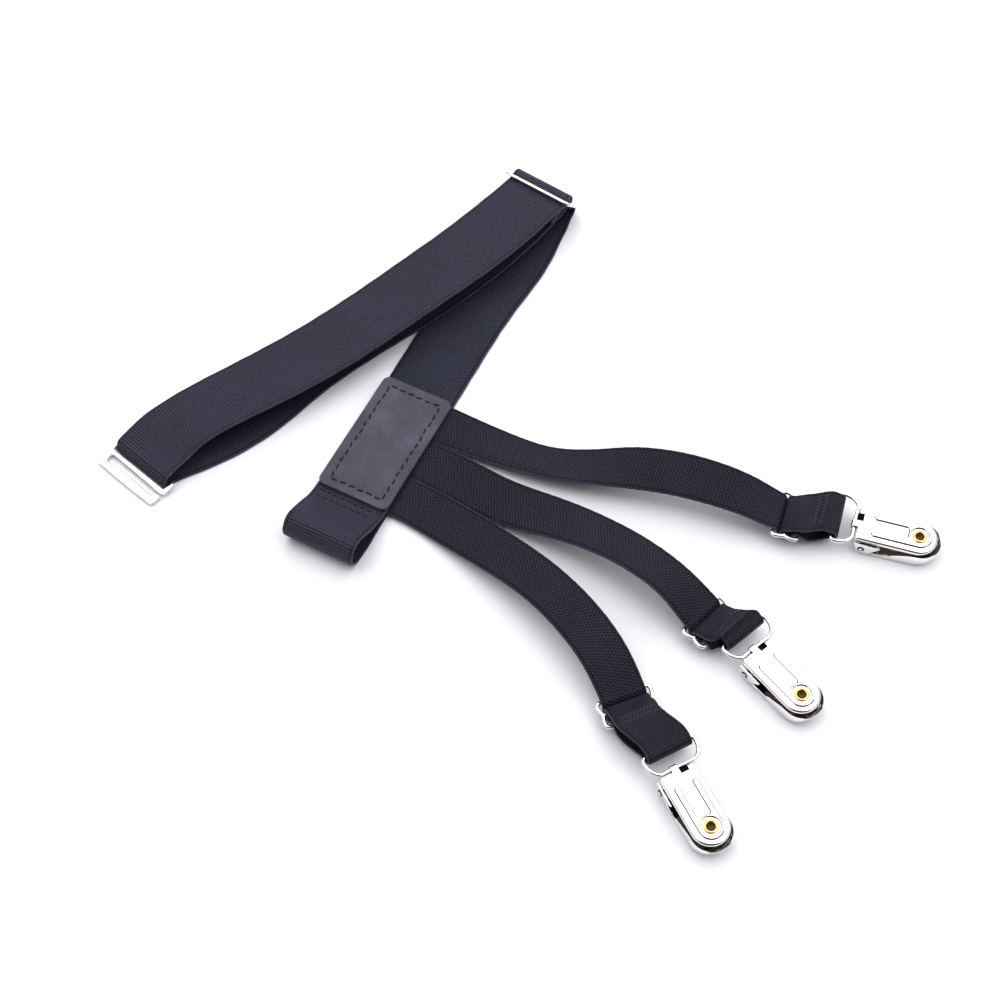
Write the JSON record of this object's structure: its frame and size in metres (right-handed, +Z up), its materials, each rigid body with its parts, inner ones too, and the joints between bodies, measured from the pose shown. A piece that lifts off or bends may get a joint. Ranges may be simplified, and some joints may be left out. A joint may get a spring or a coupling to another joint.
{
  "type": "shirt stay",
  "caption": "Elastic thigh band with a hook and slider, a leather patch and adjustable straps that end in ringed grip clips, lying open and flat.",
  "frame": {"origin": "on the surface that it lies on, under the middle of its bounding box", "axes": "+Z up from the surface; +X to the right and +Y away as it is seen from the camera side, with the clips towards +X and -Y and the hook towards -X"},
  "size_m": [0.3566, 0.3302, 0.0181],
  "materials": {
    "black_webbing": "woven elastic",
    "nickel": "bright nickel plate",
    "brass": "bright brass",
    "grey_leather": "grained",
    "clear_grip": "soft smoky grip"
  },
  "bodies": {
    "stay": {"thigh_band": "black_webbing", "band_slider": "nickel", "hook": "nickel", "leather_patch": "grey_leather", "strap_1": "black_webbing", "strap_slider_1": "nickel", "ring_1": "nickel", "strap_2": "black_webbing", "strap_slider_2": "nickel", "ring_2": "nickel", "strap_3": "black_webbing", "strap_slider_3": "nickel", "ring_3": "nickel"},
    "clip_1": {"clip_plate_1": "nickel", "eyelet_1": "brass", "grip_pad_1": "clear_grip"},
    "jaw_1": {"clip_jaw_1": "nickel", "pivot_pin_1": "nickel"},
    "clip_2": {"clip_plate_2": "nickel", "eyelet_2": "brass", "grip_pad_2": "clear_grip"},
    "jaw_2": {"clip_jaw_2": "nickel", "pivot_pin_2": "nickel"},
    "clip_3": {"clip_plate_3": "nickel", "eyelet_3": "brass", "grip_pad_3": "clear_grip"},
    "jaw_3": {"clip_jaw_3": "nickel", "pivot_pin_3": "nickel"}
  },
  "joints": [
    {"name": "clip_swing_1", "type": "hinge", "parent": "stay", "child": "clip_1", "pos_m": [0.14324, -0.02288, 0.00799], "axis": [0.279, 0.9603, 0], "range_deg": [-85, 80]},
    {"name": "jaw_open_1", "type": "hinge", "parent": "clip_1", "child": "jaw_1", "pos_m": [0.14785, -0.02422, 0.00379], "axis": [0.279, 0.9603, 0], "range_deg": [-2, 70]},
    {"name": "clip_swing_2", "type": "hinge", "parent": "stay", "child": "clip_2", "pos_m": [0.09687, -0.08083, 0.00799], "axis": [0.7694, 0.6388, 0], "range_deg": [-85, 80]},
    {"name": "jaw_open_2", "type": "hinge", "parent": "clip_2", "child": "jaw_2", "pos_m": [0.09993, -0.08452, 0.00379], "axis": [0.7694, 0.6388, 0], "range_deg": [-2, 70]},
    {"name": "clip_swing_3", "type": "hinge", "parent": "stay", "child": "clip_3", "pos_m": [0.06267, -0.13218, 0.00799], "axis": [0.8902, 0.4555, 0], "range_deg": [-85, 80]},
    {"name": "jaw_open_3", "type": "hinge", "parent": "clip_3", "child": "jaw_3", "pos_m": [0.06485, -0.13645, 0.00379], "axis": [0.8902, 0.4555, 0], "range_deg": [-2, 70]}
  ]
}
